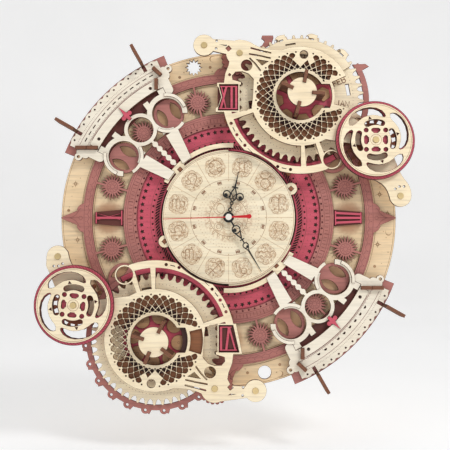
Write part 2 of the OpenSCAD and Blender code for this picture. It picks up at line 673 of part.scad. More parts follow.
// One of four crescents that run in towards the hub, [angle, radius] round its edge
crescent = [[61, 29.4], [57, 31.6], [52, 33], [44, 33.6], [34, 33.7], [22, 33.3], [10, 32.5], [-2, 31.3],
  [-12, 29.5], [-19, 27.3], [-22.4, 25.4], [-20.6, 24], [-14, 23.7], [-4, 24.2], [6, 24.8], [18, 25.1],
  [30, 25.3], [42, 25.2], [52, 25.4], [58, 26.8]];
module knob_openings() {
  clockwise([for (c = crescent) pol(c[1], c[0])]);
  rotate(4) {
    band(14.8, 20.2, -25, 25);
    for (s = [-25, 25]) rotate(s) translate([17.5, 0]) circle(2.6, $fn = 32);
  }
}
module knob_2d() difference() {
  circle(36);
  circle(pin_r + 0.02);
  for (a = [0:90:270]) rotate(a) {
    knob_openings();
    rotate(45) translate([13.5, 0]) circle(2.2, $fn = 32);
    rotate(15.5) translate([22, 0]) circle(1.7, $fn = 3);
    translate([9.2, 0]) {
      slot(4.6, 4.6);
      for (y = [-2.6, 2.6]) translate([0.4, y]) circle(1.7, $fn = 24);
    }
  }
}
module month_knob() color(cream) board(knob_d, board_t) at(knob_c(month)) knob_2d();
module zodiac_knob() color(cream) board(knob_d, board_t) rotate(180) at(knob_c(zodiac)) rotate(-6) knob_2d();
module rim_2d() difference() {
  circle(39);
  circle(pin_r + 0.02);
  for (a = [0:90:270]) rotate(a + 4) knob_openings();
}
module month_knob_rim() color(magenta) board(rim_d, board_t) at(knob_c(month)) rim_2d();
module zodiac_knob_rim() color(magenta) board(rim_d, board_t)
  rotate(180) at(knob_c(zodiac)) rotate(-6) rim_2d();

movement_case();
movement_cover();
circuit_board();
drive_coil();
battery();
arbor_bushing();
arbor_nut();
time_set_knob();
hour_tube();
minute_tube();
second_shaft();
hour_hand();
minute_hand();
second_hand();
wall_spacers();
hanger_plate();
base_board();
magenta_ring();
numeral_plates();
hour_numerals();
hour_ring();
dial_bracket();
bracket_tabs();
dial();
arc_liners();
arc_backings();
arc_plate_ul();
arc_plate_lr();
arc_strips();
arc_rings_ul();
arc_rings_lr();
arc_arms();
arc_fins();
arc_pointers();
gear_arcs();
month_hook_ring();
zodiac_hook_ring();
month_claws();
month_gear();
zodiac_gear();
month_disc();
zodiac_disc();
month_plates();
zodiac_plates();
month_frame();
zodiac_frame();
frame_posts();
brass_pins();
month_hub();
zodiac_hub();
month_fins();
zodiac_fins();
month_pinion();
zodiac_pinion();
month_knob_axle();
zodiac_knob_axle();
month_knob();
zodiac_knob();
month_knob_rim();
zodiac_knob_rim();
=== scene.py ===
import json
import math
import random

import bmesh
import bpy
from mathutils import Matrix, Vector
from mathutils.geometry import delaunay_2d_cdt


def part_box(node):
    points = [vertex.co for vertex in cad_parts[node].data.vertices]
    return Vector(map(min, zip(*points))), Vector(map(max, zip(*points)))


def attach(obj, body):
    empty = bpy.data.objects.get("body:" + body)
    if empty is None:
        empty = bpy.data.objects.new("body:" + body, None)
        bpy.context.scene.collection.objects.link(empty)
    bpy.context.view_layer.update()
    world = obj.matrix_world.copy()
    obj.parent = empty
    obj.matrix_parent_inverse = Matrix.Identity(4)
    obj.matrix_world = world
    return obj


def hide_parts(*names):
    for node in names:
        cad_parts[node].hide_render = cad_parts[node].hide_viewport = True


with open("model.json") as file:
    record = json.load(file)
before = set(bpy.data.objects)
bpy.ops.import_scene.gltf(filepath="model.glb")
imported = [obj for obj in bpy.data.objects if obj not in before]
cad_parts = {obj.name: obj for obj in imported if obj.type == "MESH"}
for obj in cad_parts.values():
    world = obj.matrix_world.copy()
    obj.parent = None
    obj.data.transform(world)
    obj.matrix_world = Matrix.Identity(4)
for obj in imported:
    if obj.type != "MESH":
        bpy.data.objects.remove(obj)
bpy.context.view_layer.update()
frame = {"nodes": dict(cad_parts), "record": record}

MM = 0.001
WHOLE_HULL = 0        # the triangulation's mode that fills the convex hull
WELD = 2e-6           # metres: vertices nearer than this are one
LEVEL = 4e-6          # metres: how far off a sheet's front a vertex may lie
SAME_POINT = 1e-5     # millimetres: the same for the triangulation
STRAIGHT = 1e-4       # bends gentler than this are dropped
TINY = 1e-12          # keeps a division away from zero
HUB = (0.0, 0.0)      # the hands' axis
RECORD = frame["record"]
BODY_OF = {n: b for b, members in RECORD["behaviour"]["bodies"].items() for n in members}
SLOT_OF = {s["node"]: s["material_slot"] for s in RECORD["subparts"]}

# ---------------------------------------------------------------- plane geometry
# Outlines are lists of (x, z) points in millimetres, as seen from the front.
# The front of the clock looks along -Y, so a depth of d millimetres is y = -d.


def pol(r, a, c=(0.0, 0.0)):
    return (c[0] + r * math.cos(math.radians(a)), c[1] + r * math.sin(math.radians(a)))


def circle(c, r, n=24):
    return [pol(r, 360 * i / n, c) for i in range(n)]


def arc(c, r, a0, a1, n=12):
    return [pol(r, a0 + (a1 - a0) * i / n, c) for i in range(n + 1)]


def band(c, r0, r1, a0, a1, n=12):
    return arc(c, r1, a0, a1, n) + arc(c, r0, a1, a0, n)


def turn(points, a, c=(0.0, 0.0)):
    s, k = math.sin(math.radians(a)), math.cos(math.radians(a))
    return [(c[0] + (x - c[0]) * k - (z - c[1]) * s, c[1] + (x - c[0]) * s + (z - c[1]) * k)
            for x, z in points]


def shift(points, c):
    return [(x + c[0], z + c[1]) for x, z in points]


def bezier(p, q, r, s, n=8):
    out = []
    for i in range(n + 1):
        t = i / n
        u = 1 - t
        k = (u**3, 3 * u * u * t, 3 * u * t * t, t**3)
        out.append(tuple(k[0] * p[j] + k[1] * q[j] + k[2] * r[j] + k[3] * s[j] for j in (0, 1)))
    return out


def inside(loops, p):
    """Whether p lies in the filled part, counting loops even and odd."""
    hit = False
    for loop in loops:
        for (x0, z0), (x1, z1) in zip(loop, loop[1:] + loop[:1]):
            if (z0 > p[1]) != (z1 > p[1]) and p[0] < (x1 - x0) * (p[1] - z0) / (z1 - z0) + x0:
                hit = not hit
    return hit


def gap_to(loops, p):
    """Distance from p to the nearest edge of the loops."""
    best = math.inf
    for loop in loops:
        for (x0, z0), (x1, z1) in zip(loop, loop[1:] + loop[:1]):
            if min(x0, x1) - best > p[0] or max(x0, x1) + best < p[0]:
                continue
            vx, vz = x1 - x0, z1 - z0
            along = ((p[0] - x0) * vx + (p[1] - z0) * vz) / max(vx * vx + vz * vz, TINY)
            t = max(0.0, min(1.0, along))
            best = min(best, math.hypot(p[0] - x0 - t * vx, p[1] - z0 - t * vz))
    return best


def fits(loops, hole, margin=0.45):
    """Whether a hole lies in the filled part, at least the margin from every edge."""
    return all(inside(loops, p) and gap_to(loops, p) > margin for p in hole)


# ---------------------------------------------------------------- materials


def srgb(r, g, b):
    def lin(v):
        v /= 255
        return v / 12.92 if v <= 0.04045 else ((v + 0.055) / 1.055) ** 2.4

    return (lin(r), lin(g), lin(b), 1.0)


class Nodes:
    """Short names for making and linking shader nodes."""

    def __init__(self, name):
        self.mat = bpy.data.materials.new(name)
        self.mat.use_nodes = True
        self.tree = self.mat.node_tree
        self.bsdf = self.tree.nodes["Principled BSDF"]

    def add(self, kind, **values):
        node = self.tree.nodes.new(kind)
        for key, value in values.items():
            if hasattr(node, key):
                setattr(node, key, value)
            else:
                node.inputs[key.replace("_", " ")].default_value = value
        return node

    def link(self, a, b):
        self.tree.links.new(a, b)

    def math(self, operation, a, b=0.0):
        node = self.add("ShaderNodeMath", operation=operation)
        for i, v in enumerate((a, b)):
            if isinstance(v, (int, float)):
                node.inputs[i].default_value = v
            else:
                self.link(v, node.inputs[i])
        return node.outputs[0]

    def noise(self, scale, stretch=(1, 1, 1), angle=0.0, detail=4.0, rough=0.55):
        place = self.add("ShaderNodeTexCoord")
        mapping = self.add("ShaderNodeMapping")
        mapping.inputs["Rotation"].default_value = (0, math.radians(angle), 0)
        mapping.inputs["Scale"].default_value = stretch
        tex = self.add("ShaderNodeTexNoise", Scale=scale, Detail=detail, Roughness=rough)
        self.link(place.outputs["Object"], mapping.inputs["Vector"])
        self.link(mapping.outputs[0], tex.inputs["Vector"])
        return tex.outputs["Fac"]

    def ramp(self, fac, *stops):
        node = self.add("ShaderNodeValToRGB")
        ramp = node.color_ramp
        while len(ramp.elements) < len(stops):
            ramp.elements.new(0.5)
        for element, (at, colour) in zip(ramp.elements, stops):
            element.position, element.color = at, colour
        self.link(fac, node.inputs[0])
        return node.outputs["Color"]

    def mix(self, fac, a, b, blend="MIX"):
        node = self.add("ShaderNodeMix", data_type="RGBA", blend_type=blend)
        # sockets 6 and 7 in and 2 out are the node's colours; the others belong to its other data types
        for socket, v in ((node.inputs[0], fac), (node.inputs[6], a), (node.inputs[7], b)):
            if isinstance(v, (int, float, tuple)):
                socket.default_value = v
            else:
                self.link(v, socket)
        return node.outputs[2]

    def finish(self, colour, rough, height, bump=0.25, depth=0.0001):
        self.link(colour, self.bsdf.inputs["Base Color"])
        if isinstance(rough, float):
            self.bsdf.inputs["Roughness"].default_value = rough
        else:
            self.link(rough, self.bsdf.inputs["Roughness"])
        if height is not None:
            node = self.add("ShaderNodeBump", Strength=bump, Distance=depth)
            self.link(height, node.inputs["Height"])
            self.link(node.outputs[0], self.bsdf.inputs["Normal"])
        return self.mat


def tint(colour, k):
    return tuple(min(1.0, v * k) for v in colour[:3]) + (1.0,)


GRAIN = (6.0, 6.0, 110.0)   # long streaks across the sheet's width, fine up its height


def wood_colour(m, face, angle, contrast=1.0):
    """Face colour of a plywood sheet: streaks of grain, soft blotches and a few dark flecks."""
    streaks = m.noise(4.0, GRAIN, angle, 6.0, 0.62)
    blotch = m.noise(22.0, (1, 1, 2.2), angle, 3.0)
    flecks = m.noise(9.0, (22, 22, 420), angle + 1.0, 2.0)
    colour = m.ramp(streaks, (0.30, tint(face, 1 - 0.20 * contrast)), (0.52, face),
                    (0.74, tint(face, 1 + 0.09 * contrast)))
    warm = m.ramp(blotch, (0.35, (0.90, 0.84, 0.76, 1)), (0.62, (1.03, 1.03, 1.03, 1)))
    colour = m.mix(0.55 * contrast, colour, warm, "MULTIPLY")
    dark = m.ramp(flecks, (0.66, (1, 1, 1, 1)), (0.74, (0.72, 0.60, 0.50, 1)))
    return m.mix(0.5, colour, dark, "MULTIPLY"), streaks


def wood_rough(m, streaks, low=0.46, high=0.66):
    node = m.add("ShaderNodeMapRange")
    node.inputs["To Min"].default_value = low
    node.inputs["To Max"].default_value = high
    m.link(streaks, node.inputs["Value"])
    return node.outputs[0]


def wood(name, face, angle=0.0, contrast=1.0):
    m = Nodes(name)
    colour, streaks = wood_colour(m, face, angle, contrast)
    return m.finish(colour, wood_rough(m, streaks), streaks)


def burnt(name, light, dark):
    """Laser-cut edge: charred streaks with the plies showing as bands through the thickness."""
    m = Nodes(name)
    char = m.noise(160.0, (1, 1, 1), 0.0, 5.0, 0.65)
    plies = m.noise(8.0, (8, 190, 8), 0.0, 2.0)
    colour = m.ramp(char, (0.32, dark), (0.70, light))
    layer = m.ramp(plies, (0.42, (0.62, 0.55, 0.50, 1)), (0.60, (1.12, 1.08, 1.0, 1)))
    return m.finish(m.mix(0.8, colour, layer, "MULTIPLY"), 0.78, char, 0.35)


def marked_wood(name, face, angle, depth, spots=(), zones=(), centre=(0.0, 0.0), contrast=1.0):
    """Wood with darkened spots repeated round a centre, and darkened rings about it, used both for burnt and
    engraved marks and for painted shade.

    A spot is (pitch, first angle, radius, inner, outer, strength, colour, grain of the mark or 0).
    A zone is (inner radius, outer radius, softness, strength, colour, grain of the mark or 0).
    Lengths are in millimetres. Only what stands in front of the depth is marked, so that a board's back
    stays plain."""
    m = Nodes(name)
    colour, streaks = wood_colour(m, face, angle, contrast)
    place = m.add("ShaderNodeTexCoord")
    split = m.add("ShaderNodeSeparateXYZ")
    m.link(place.outputs["Object"], split.inputs[0])
    x = m.math("SUBTRACT", split.outputs[0], centre[0] * MM)
    z = m.math("SUBTRACT", split.outputs[2], centre[1] * MM)
    angle_of = m.math("ARCTAN2", z, x)
    radius = m.math("SQRT", m.math("ADD", m.math("MULTIPLY", x, x), m.math("MULTIPLY", z, z)))
    wobble = m.math("MULTIPLY", m.math("SUBTRACT", m.noise(260.0, detail=3.0), 0.5), 0.004)

    def fade(value, low, high, first, last):
        node = m.add("ShaderNodeMapRange", interpolation_type="SMOOTHSTEP")
        m.link(value, node.inputs["Value"])
        for socket, v in (("From Min", low), ("From Max", high), ("To Min", first), ("To Max", last)):
            node.inputs[socket].default_value = v
        return node.outputs[0]

    ahead = m.math("LESS_THAN", split.outputs[1], -depth * MM)

    # lays a mark's colour over the wood; the callers use it for burns and for painted shade
    def burn_and_shade(mask, strength, shade, grain):
        mask = m.math("MULTIPLY", mask, ahead)
        if grain:
            patchy = fade(m.noise(grain, detail=5.0, rough=0.6), 0.47, 0.58, 0.0, 1.0)
            mask = m.math("MULTIPLY", mask, patchy)
        return m.mix(m.math("MULTIPLY", mask, strength), colour, shade)

    for pitch, first, at, inner, outer, strength, shade, grain in spots:
        step = math.radians(pitch)
        turned = m.math("ADD", angle_of, 2 * math.tau - math.radians(first) + step / 2)
        off = m.math("SUBTRACT", m.math("MODULO", turned, step), step / 2)
        flat = m.math("SUBTRACT", m.math("MULTIPLY", radius, m.math("COSINE", off)), at * MM)
        side = m.math("MULTIPLY", radius, m.math("SINE", off))
        dist = m.math("SQRT", m.math("ADD", m.math("MULTIPLY", flat, flat), m.math("MULTIPLY", side, side)))
        mask = fade(m.math("ADD", dist, wobble), inner * MM, outer * MM, 1.0, 0.0)
        colour = burn_and_shade(mask, strength, shade, grain)
    for inner, outer, soft, strength, shade, grain in zones:
        far = m.math("ADD", radius, m.math("MULTIPLY", wobble, 0.2))
        mask = m.math("MULTIPLY", fade(far, (inner - soft) * MM, inner * MM, 0.0, 1.0),
                      fade(far, outer * MM, (outer + soft) * MM, 1.0, 0.0))
        colour = burn_and_shade(mask, strength, shade, grain)
    return m.finish(colour, wood_rough(m, streaks), streaks)


def plastic(name, colour, rough):
    m = Nodes(name)
    grain = m.noise(1400.0, detail=2.0)
    shade = m.ramp(grain, (0.3, tint(colour, 0.9)), (0.7, tint(colour, 1.1)))
    return m.finish(shade, rough, grain, 0.3, 0.00003)


def metal(name, colour, rough):
    m = Nodes(name)
    m.bsdf.inputs["Metallic"].default_value = 1.0
    marks = m.noise(70.0, (1, 30, 1), 0.0, 4.0)
    shade = m.ramp(marks, (0.3, tint(colour, 0.82)), (0.7, tint(colour, 1.08)))
    return m.finish(shade, wood_rough(m, marks, rough - 0.07, rough + 0.1), marks, 0.15, 0.00002)


SUN_R = 122.0         # where the twelve suns stand
PICTURE_R = 52.0      # where the face's twelve pictures stand
MATERIALS = {
    "cream_plywood": wood("cream_wood", srgb(252, 235, 202), 8),
    "natural_plywood": wood("natural_wood", srgb(240, 213, 172), 0),
    "mauve_plywood": wood("mauve_stained_wood", srgb(180, 116, 108), 14, 1.2),
    "magenta_plywood": wood("magenta_stained_wood", srgb(206, 84, 104), -10, 1.2),
    "maroon_plywood": wood("maroon_stained_wood", srgb(98, 42, 34), 0),
    "brown_plywood": wood("brown_wood", srgb(146, 92, 62), 30, 1.3),
    "white_plywood": wood("white_washed_wood", srgb(241, 231, 214), 45, 0.7),
    "black_plastic": plastic("black_plastic", (0.018, 0.018, 0.02, 1), 0.55),
    "green_board": plastic("circuit_green", (0.03, 0.17, 0.08, 1), 0.4),
    "copper_coil": metal("copper_wire", (0.62, 0.25, 0.10, 1), 0.35),
    "battery_label": plastic("battery_sleeve", (0.09, 0.10, 0.12, 1), 0.35),
    "brass": metal("brass_metal", (0.83, 0.64, 0.33, 1), 0.38),
    "white_plastic": plastic("white_plastic", (0.82, 0.82, 0.78, 1), 0.45),
    "steel": metal("steel_metal", (0.62, 0.62, 0.64, 1), 0.3),
    "black_hand": plastic("black_lacquer", (0.006, 0.006, 0.007, 1), 0.32),
    "red_hand": plastic("red_lacquer", srgb(200, 22, 34), 0.35),
}
EDGE = burnt("burnt_edge", srgb(136, 92, 66), srgb(66, 34, 24))
DARK_EDGE = burnt("burnt_edge_dark", srgb(104, 52, 46), srgb(44, 18, 16))
ENGRAVED = wood("engraved_brown", srgb(176, 138, 102), 8, 1.4)
ENGRAVED_FAINT = wood("engraved_pale", srgb(214, 186, 148), 8, 1.2)
EDGE_OF = {"mauve_plywood": DARK_EDGE, "magenta_plywood": DARK_EDGE, "maroon_plywood": DARK_EDGE}
PLAIN_EDGE = ("black_hand", "red_hand")
CHARRED = wood("charred_marks", srgb(66, 40, 32), 0, 1.2)
DARK_LINE = wood("engraved_dark", srgb(132, 74, 68), 0, 1.3)
ROPE_LINE = wood("rope_groove", srgb(150, 58, 72), 0, 1.2)
PALE_ARC = wood("arc_wood", srgb(245, 236, 218), 45, 0.6)
TAN = wood("tan_wood", srgb(190, 148, 108), 20, 1.3)
PALE_CAP = plastic("pale_cap", srgb(235, 230, 220), 0.4)
NUMBER_BROWN = wood("number_brown", srgb(142, 100, 70), 8, 1.2)
SEPIA = srgb(196, 156, 116)
TOAST = srgb(186, 134, 92)
BASE = marked_wood(
    "base_wood", srgb(243, 216, 176), 0, 17.5,
    # the second spots, darker brown under and round each raised sun, are painted shade of the suns on the
    # base
    spots=((30, 0, SUN_R, 8.0, 19.0, 0.75, TOAST, 0), (30, 15, SUN_R, 8.5, 15.0, 0.75, srgb(140, 88, 62), 0),
           (180, 0, 121, 13.0, 20.0, 0.45, srgb(150, 98, 74), 0)),
    # the zone from 60 to 106 mm, nearly black, is painted shade at the bottoms of the magenta and hour rings'
    # holes
    zones=((60, 106, 1.5, 0.93, srgb(46, 22, 18), 0),))
FACE_WOOD = marked_wood(
    "face_wood", srgb(246, 233, 204), 8, 30,
    spots=((30, 15, PICTURE_R, 8.8, 11.8, 0.6, SEPIA, 420.0),
           (30, 15, PICTURE_R, 7.5, 11.0, 0.5, srgb(160, 116, 84), 800.0)),
    zones=((0, 17.5, 1.5, 0.5, SEPIA, 300.0), (19.5, 24.5, 1.2, 0.4, SEPIA, 420.0)), contrast=0.8)

# ---------------------------------------------------------------- plates


def chained(edges):
    """Joins directed edges (a, b) into closed loops of vertex numbers."""
    after = {}
    for a, b in edges:
        after.setdefault(a, []).append(b)
    loops = []
    while after:
        start = next(iter(after))
        loop, at = [start], after[start].pop()
        if not after[start]:
            del after[start]
        while at != start:
            loop.append(at)
            nxt = after[at].pop()
            if not after[at]:
                del after[at]
            at = nxt
        loops.append(loop)
    return loops


def thinned(points):
    """Drops the points that lie on a straight run."""
    out = []
    n = len(points)
    for i in range(n):
        (x0, z0), (x1, z1), (x2, z2) = points[i - 1], points[i], points[(i + 1) % n]
        cross = (x1 - x0) * (z2 - z1) - (z1 - z0) * (x2 - x1)
        if abs(cross) > STRAIGHT * (math.hypot(x1 - x0, z1 - z0) + math.hypot(x2 - x1, z2 - z1)):
            out.append(points[i])
    return out


def outlines(node):
    """[(front depth, back depth, loops)] for each loose plate of a CAD node, in millimetres."""
    bm = bmesh.new()
    bm.from_mesh(frame["nodes"][node].data)
    bmesh.ops.remove_doubles(bm, verts=bm.verts, dist=WELD)
    bm.verts.ensure_lookup_table()
    seen, plates = set(), []
    for v in bm.verts:
        if v.index in seen:
            continue
        stack, island = [v], []
        seen.add(v.index)
        while stack:
            w = stack.pop()
            island.append(w)
            for e in w.link_edges:
                o = e.other_vert(w)
                if o.index not in seen:
                    seen.add(o.index)
                    stack.append(o)
        y0, y1 = min(w.co.y for w in island), max(w.co.y for w in island)
        # a dict and not a set: a set of faces comes out in another order in every run
        front = dict.fromkeys(f for w in island for f in w.link_faces
                              if all(abs(u.co.y - y0) < LEVEL for u in f.verts))
        directed = set()
        for f in front:
            vs = [u.index for u in f.verts]
            directed.update(zip(vs, vs[1:] + vs[:1]))
        edges = [(a, b) for a, b in directed if (b, a) not in directed]
        loops = [thinned([(bm.verts[i].co.x / MM, bm.verts[i].co.z / MM) for i in loop])
                 for loop in chained(edges)]
        plates.append((-y0 / MM, -y1 / MM, [loop for loop in loops if len(loop) > 2]))
    bm.free()
    return plates


def area(loop):
    """The area inside a loop, negative when it runs clockwise."""
    return sum(a[0] * b[1] - b[0] * a[1] for a, b in zip(loop, loop[1:] + loop[:1])) / 2


def inset(loop, d, outer):
    """The loop moved d into the solid: an outer loop shrinks and a hole's loop grows."""
    side = d if (area(loop) > 0) == outer else -d
    out = []
    n = len(loop)
    for i in range(n):
        (x0, z0), (x1, z1), (x2, z2) = loop[i - 1], loop[i], loop[(i + 1) % n]
        l0, l1 = math.hypot(x1 - x0, z1 - z0), math.hypot(x2 - x1, z2 - z1)
        n0, n1 = (-(z1 - z0) / l0, (x1 - x0) / l0), (-(z2 - z1) / l1, (x2 - x1) / l1)
        k = max(1 + n0[0] * n1[0] + n0[1] * n1[1], 0.5)      # sharp corners move less, so that none spikes
        out.append((x1 + side * (n0[0] + n1[0]) / k, z1 + side * (n0[1] + n1[1]) / k))
    return out


def nested(loops):
    """[(loop, is an outer edge)]: a loop inside an even number of others is an outer edge."""
    out = []
    for i, loop in enumerate(loops):
        depth = sum(inside([other], loop[0]) for j, other in enumerate(loops) if j != i)
        out.append((loop, depth % 2 == 0))
    return out


def add_plate(bm, front, back, loops, chamfer):
    """A flat sheet between two depths, with a small chamfer round every front edge."""
    levels = ((-front * MM, chamfer), (-(front - chamfer) * MM, 0.0), (-back * MM, 0.0))
    rims = [[], [], []]
    for loop, outer in nested(loops):
        rings = []
        for k, (y, d) in enumerate(levels):
            points = inset(loop, d, outer) if d else loop
            ring = [bm.verts.new((x * MM, y, z * MM)) for x, z in points]
            rims[k].append(ring)
            rings.append(ring)
        n = len(loop)
        for k in (0, 1):
            for i in range(n):
                j = (i + 1) % n
                face = bm.faces.new((rings[k][i], rings[k][j], rings[k + 1][j], rings[k + 1][i]))
                face.material_index = 1
    for k in (0, 2):
        cap(bm, rims[k])


def cap(bm, rings):
    """Fills the space between closed rings of vertices at one depth, leaving the holes open."""
    verts = [v for ring in rings for v in ring]
    edges, start = [], 0
    for ring in rings:
        n = len(ring)
        edges += [(start + i, start + (i + 1) % n) for i in range(n)]
        start += n
    flat = [Vector((v.co.x / MM, v.co.z / MM)) for v in verts]
    points, lines, faces, origin, walls, _ = delaunay_2d_cdt(flat, edges, [], WHOLE_HULL, SAME_POINT)
    flips = {frozenset(line): len(wall) % 2 for line, wall in zip(lines, walls)}
    beside = {}
    for k, f in enumerate(faces):
        for pair in zip(f, f[1:] + f[:1]):
            beside.setdefault(frozenset(pair), []).append(k)
    solid = [None] * len(faces)
    ready = []
    for pair, owners in beside.items():
        if len(owners) == 1 and solid[owners[0]] is None:
            solid[owners[0]] = flips.get(pair, 0)
            ready.append(owners[0])
    while ready:                               # from the outer edge inwards, a rim turns wood to air and back
        k = ready.pop()
        f = faces[k]
        for pair in zip(f, f[1:] + f[:1]):
            for other in beside[frozenset(pair)]:
                if solid[other] is None:
                    solid[other] = solid[k] ^ flips.get(frozenset(pair), 0)
                    ready.append(other)
    y = verts[0].co.y
    made = [verts[o[0]] if o else bm.verts.new((p.x * MM, y, p.y * MM)) for p, o in zip(points, origin)]
    for f, wood_here in zip(faces, solid):
        corner = [made[i] for i in f]
        if wood_here and len(set(corner)) == len(corner) and not bm.faces.get(corner):
            bm.faces.new(corner).material_index = 0


def object_from(bm, name, materials, body):
    mesh = bpy.data.meshes.new(name)
    bmesh.ops.recalc_face_normals(bm, faces=bm.faces)
    bm.to_mesh(mesh)
    bm.free()
    for material in materials:
        mesh.materials.append(material)
    piece = bpy.data.objects.new(name, mesh)
    bpy.context.scene.collection.objects.link(piece)
    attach(piece, body)
    return piece


def plate(node, holes=(), chamfer=0.22, material=None):
    """Stands for a CAD node made of flat sheets, with the fine holes that the CAD leaves out."""
    slot = SLOT_OF[node]
    face = material or MATERIALS[slot]
    side = face if slot in PLAIN_EDGE else EDGE_OF.get(slot, EDGE)
    bm = bmesh.new()
    left = list(holes)
    for front, back, loops in outlines(node):
        mine = [h for h in left if fits(loops, h)]
        left = [h for h in left if h not in mine]
        add_plate(bm, front, back, loops + mine, chamfer)
    piece = object_from(bm, node + "_sheet", [face, side], BODY_OF[node])
    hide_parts(node)


# ---------------------------------------------------------------- engraving


class Engraving:
    """Burnt lines and dots that stand a hair proud of a sheet's front."""

    PROUD = 0.03      # millimetres in front of the sheet
    SUNK = 0.05       # and behind its front

    def __init__(self, name, depth, body, material, slot):
        self.name, self.depth, self.body, self.material, self.slot = name, depth, body, material, slot
        self.bm = bmesh.new()

    def _walls(self, ring, caps):
        top, low = ([self.bm.verts.new((x * MM, -(self.depth + d) * MM, z * MM)) for x, z in ring]
                    for d in (self.PROUD, -self.SUNK))
        n = len(ring)
        for i in range(n):
            j = (i + 1) % n
            self.bm.faces.new((top[i], top[j], low[j], low[i]))
        for quad in caps:
            self.bm.faces.new([top[i] for i in quad])
            self.bm.faces.new([low[i] for i in reversed(quad)])

    def dot(self, c, r, n=10):
        self._walls(circle(c, r, n), [tuple(range(n))])

    def shape(self, points):
        """A filled convex outline."""
        self._walls(points, [tuple(range(len(points)))])

    def line(self, points, width=0.5, closed=False):
        n = len(points)
        sides = []
        for i in range(n):
            a = points[i - 1] if i or closed else points[i]
            b = points[(i + 1) % n] if i < n - 1 or closed else points[i]
            dx, dz = b[0] - a[0], b[1] - a[1]
            k = width / 2 / max(math.hypot(dx, dz), TINY)
            x, z = points[i]
            sides.append(((x - dz * k, z + dx * k), (x + dz * k, z - dx * k)))
        if not closed:
            ring = [s[0] for s in sides] + [s[1] for s in reversed(sides)]
            self._walls(ring, [(i, i + 1, 2 * n - 2 - i, 2 * n - 1 - i) for i in range(n - 1)])
            return
        rows = [[self.bm.verts.new((s[k][0] * MM, -(self.depth + d) * MM, s[k][1] * MM)) for s in sides]
                for k, d in ((0, self.PROUD), (1, self.PROUD), (1, -self.SUNK), (0, -self.SUNK))]
        for i in range(n):
            j = (i + 1) % n
            for a, b in ((0, 1), (1, 2), (2, 3), (3, 0)):
                self.bm.faces.new((rows[a][i], rows[a][j], rows[b][j], rows[b][i]))

    def ring(self, c, r, width=0.5, n=72):
        self.line(circle(c, r, n), width, closed=True)

    def done(self):
        object_from(self.bm, self.name, [self.material], self.body)


def engraving(name, node, material=None, front=None):
    """An engraving on the front of a node's nearest sheet."""
    depth = -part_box(node)[0].y / MM if front is None else front
    return Engraving(name, depth, BODY_OF[node], material or ENGRAVED, SLOT_OF[node])


def ply_lines(node):
    """The plies of parts that stand edge on: two dark lines along each."""
    depths = {}
    for front, _, loops in outlines(node):
        loop = max(loops, key=lambda one: abs(area(one)))
        i = max(range(len(loop)), key=lambda k: math.dist(loop[k - 1], loop[k]))
        (x0, z0), (x1, z1) = loop[i - 1], loop[i]
        length = math.dist(loop[i - 1], loop[i])
        width = area(loop) / length            # signed, so that the lines fall inside the outline
        across = (-(z1 - z0) / length * width, (x1 - x0) / length * width)
        key = round(front, 2)
        if key not in depths:
            depths[key] = engraving(f"{node}_plies_{len(depths)}", node, CHARRED, front)
        trim = 0.4 / length                    # stops the lines 0.4 mm short of the ends
        for t in (0.32, 0.68):
            ends = [(x0 + (x1 - x0) * k + across[0] * t, z0 + (z1 - z0) * k + across[1] * t)
                    for k in (trim, 1 - trim)]
            depths[key].line(ends, 0.4)
    for marks in depths.values():
        marks.done()


# ---------------------------------------------------------------- places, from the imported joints


def centre_of(joint):
    spot = next(j for j in RECORD["behaviour"]["joints"] if j["name"] == joint)["pos_m"]
    return (spot[0] / MM, spot[2] / MM)


MONTH = centre_of("month_wheel_turn")
ZODIAC = centre_of("zodiac_wheel_turn")
MONTH_KNOB = centre_of("month_knob_turn")
ZODIAC_KNOB = centre_of("zodiac_knob_turn")
ARC_AXES = {"ul": 135.0, "lr": 315.0}
SIDES = {"month": (MONTH, 0.0), "zodiac": (ZODIAC, 180.0)}

# ---------------------------------------------------------------- rings of the face


def magenta_ring():
    pitch, count = 4.5, 80                     # one star hole of the CAD to each step
    holes = [circle(pol(77.2, pitch * i), 0.85, 10) for i in range(count)]
    for i in range(2 * count):                 # slanted slots
        a = pitch / 2 * i
        holes.append([pol(70.3, a), pol(74.3, a + 2.6), pol(74.3, a + 3.9), pol(70.3, a + 1.3)])
    plate("magenta_ring", holes, 0.18)
    marks = engraving("magenta_ring_lines", "magenta_ring", DARK_LINE)
    marks.ring(HUB, 75.4, 0.45, 120)
    marks.ring(HUB, 79.4, 0.35, 120)
    marks.ring(HUB, 92.3, 0.45, 120)
    for i in range(count):
        marks.dot(pol(82.8, pitch * i + pitch / 2), 0.42, 8)
    marks.done()


